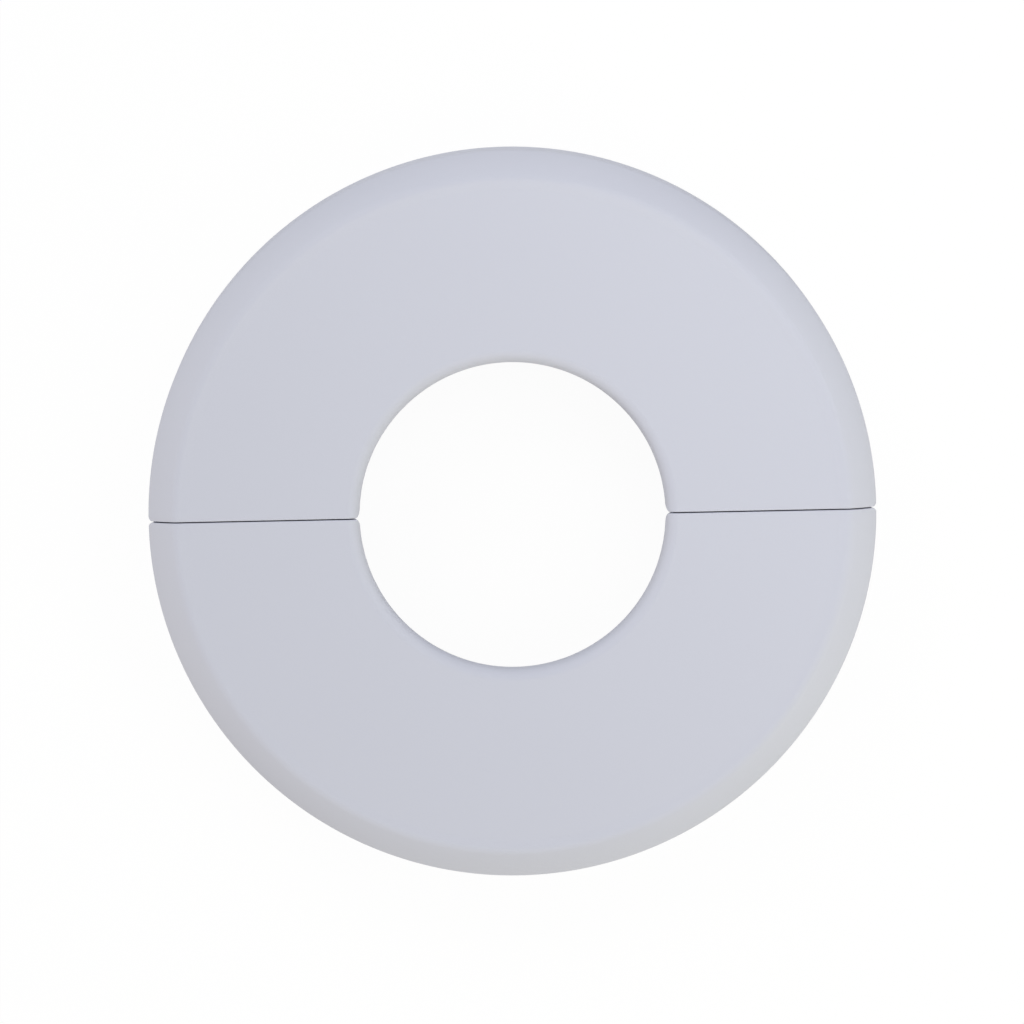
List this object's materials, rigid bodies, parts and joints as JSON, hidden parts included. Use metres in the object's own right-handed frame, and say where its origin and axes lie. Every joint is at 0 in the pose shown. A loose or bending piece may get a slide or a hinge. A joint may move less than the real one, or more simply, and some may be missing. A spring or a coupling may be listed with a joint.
{
  "type": "radiator pipe collar",
  "caption": "Round split collar in white plastic that covers the hole round a radiator pipe; two bevelled half rings with hollow backs push together by tongue and slot.",
  "frame": {"origin": "centre of the bore, on the wall plane that the collar's back rests on", "axes": "+Z along the pipe, away from the wall, so the front face looks up; X along the seam; +Y from the lower half to the upper half"},
  "size_m": [0.054, 0.054, 0.008],
  "materials": {
    "white_plastic": "satin"
  },
  "bodies": {
    "lower_half": {"lower_half": "white_plastic"},
    "upper_half": {"upper_half": "white_plastic"}
  },
  "joints": [
    {"name": "halves_pull_apart", "type": "slide", "parent": "lower_half", "child": "upper_half", "axis": [0, 1, 0], "range_m": [0, 0.03]}
  ]
}
